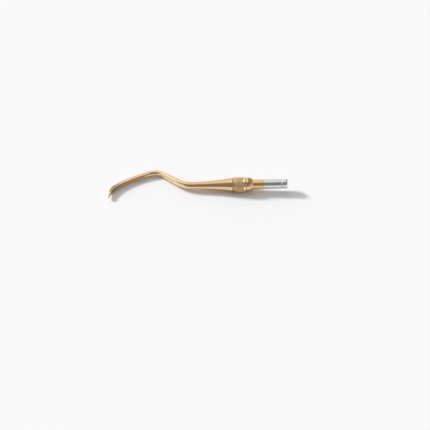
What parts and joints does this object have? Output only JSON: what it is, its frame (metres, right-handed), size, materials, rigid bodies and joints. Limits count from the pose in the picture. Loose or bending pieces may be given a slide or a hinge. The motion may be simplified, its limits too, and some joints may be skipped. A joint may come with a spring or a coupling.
{
  "type": "dental elevator tip",
  "caption": "Gold-coated dental elevator tip: bent gouge blade, knee and tapered neck, a hub with a straight-knurled collar, and a plain tang that plugs into a handle.",
  "frame": {"origin": "on the tang's axis, in the plane of the hub's rear shoulder", "axes": "+X along the tang towards its free end, away from the blade; +Y in the plane of the bends, to the side that the knee stands out to; +Z square to that plane, up when the tip lies on its side"},
  "size_m": [0.074, 0.0168, 0.0062],
  "materials": {
    "coated_steel": "steel with a gold nitride coating, polished on the neck and ground satin on the blade",
    "coated_band": "steel with a gold nitride coating, finely turned",
    "coated_knurl": "steel with a gold nitride coating, straight knurled",
    "coated_polish": "steel with a gold nitride coating, mirror polished",
    "coated_seat": "steel with a gold nitride coating, polished",
    "coated_sleeve": "steel with a gold nitride coating, polished",
    "bare_steel": "bare stainless steel, finely ground"
  },
  "bodies": {
    "root": {"working_end": "coated_steel", "front_ring": "coated_band", "grip_collar": "coated_knurl", "polished_ring": "coated_polish", "seat_ring": "coated_seat", "tang_sleeve": "coated_sleeve", "tang_pin": "bare_steel"}
  },
  "joints": []
}
